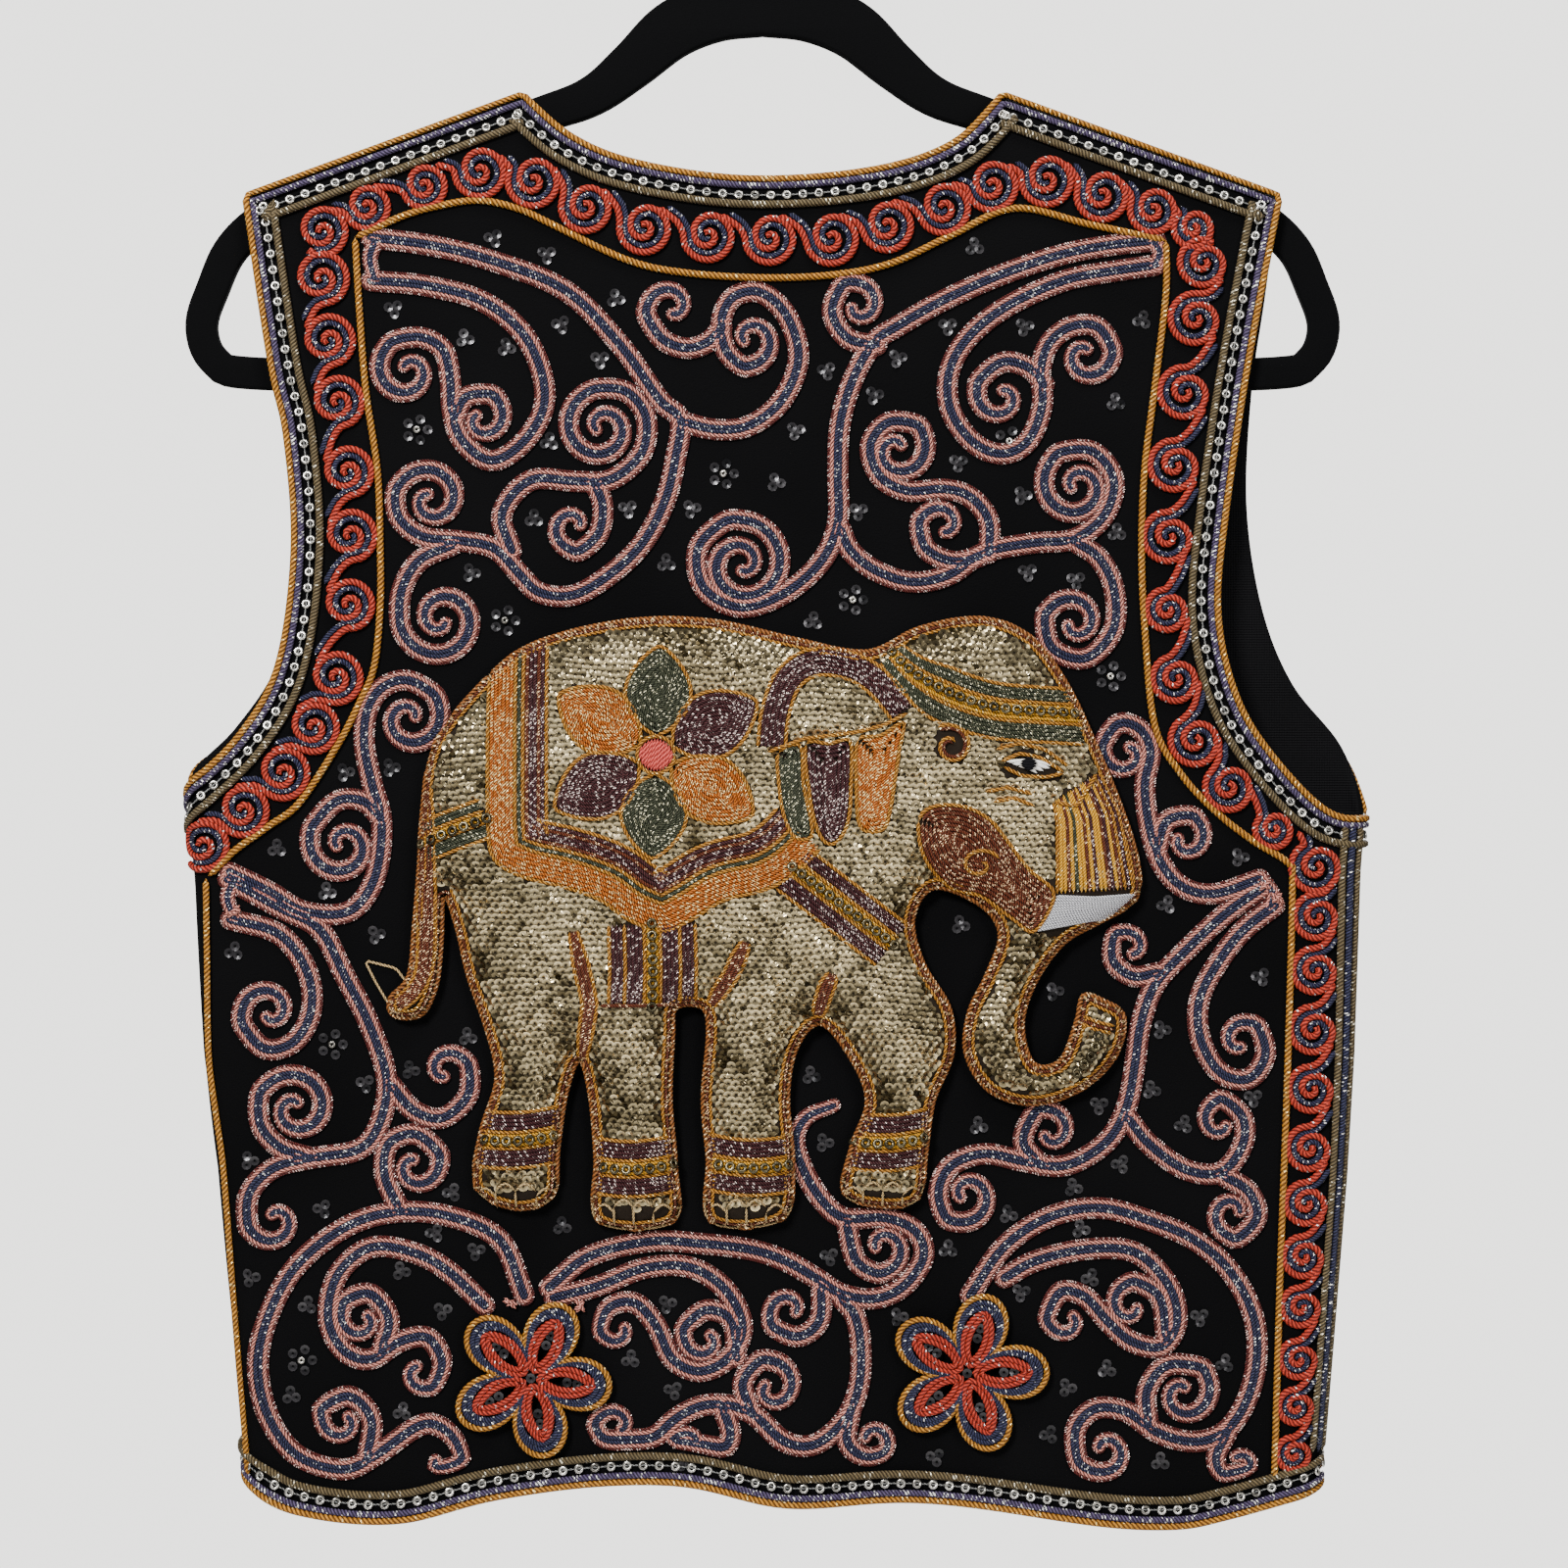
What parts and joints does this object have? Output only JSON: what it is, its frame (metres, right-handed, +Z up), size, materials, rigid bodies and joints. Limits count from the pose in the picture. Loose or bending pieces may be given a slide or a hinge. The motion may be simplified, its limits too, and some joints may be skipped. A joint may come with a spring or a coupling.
{
  "type": "embroidered vest on a clothes hanger",
  "caption": "Sleeveless black velvet vest with a padded sequinned elephant, couched scrolls and corded edges, hanging flat on a flocked hanger.",
  "frame": {"origin": "inside of the crown of the hanger's hook, where a rail or nail carries it", "axes": "+Z up, -Y out of the embroidered back, +X to the right of someone who looks at the back"},
  "size_m": [0.4611, 0.0386, 0.6718],
  "materials": {
    "black_velvet": "matt pile",
    "edge_cords": "twisted cord with metal thread",
    "scroll_cords": "couched cord with metal thread",
    "sequins": "champagne metallic",
    "clear_sequins": "smoky, translucent",
    "couched_orange": "couched floss",
    "couched_purple": "couched metal thread",
    "couched_yellow": "couched floss",
    "couched_navy": "couched cord",
    "white_floss": "satin stitch",
    "black_flock": "flocked",
    "hook_steel": "polished"
  },
  "bodies": {
    "root": {"back_panel": "black_velvet", "front_left_panel": "black_velvet", "front_right_panel": "black_velvet", "back_edge_cords": "edge_cords", "front_left_edge_cords": "edge_cords", "front_right_edge_cords": "edge_cords", "elephant_body": "sequins", "elephant_saddle_cloth": "couched_orange", "elephant_ear": "couched_purple", "elephant_head_dress": "couched_yellow", "flower_applique_left": "couched_navy", "flower_applique_right": "couched_navy", "hanger_frame": "black_flock", "hanger_hook": "hook_steel"}
  },
  "joints": []
}
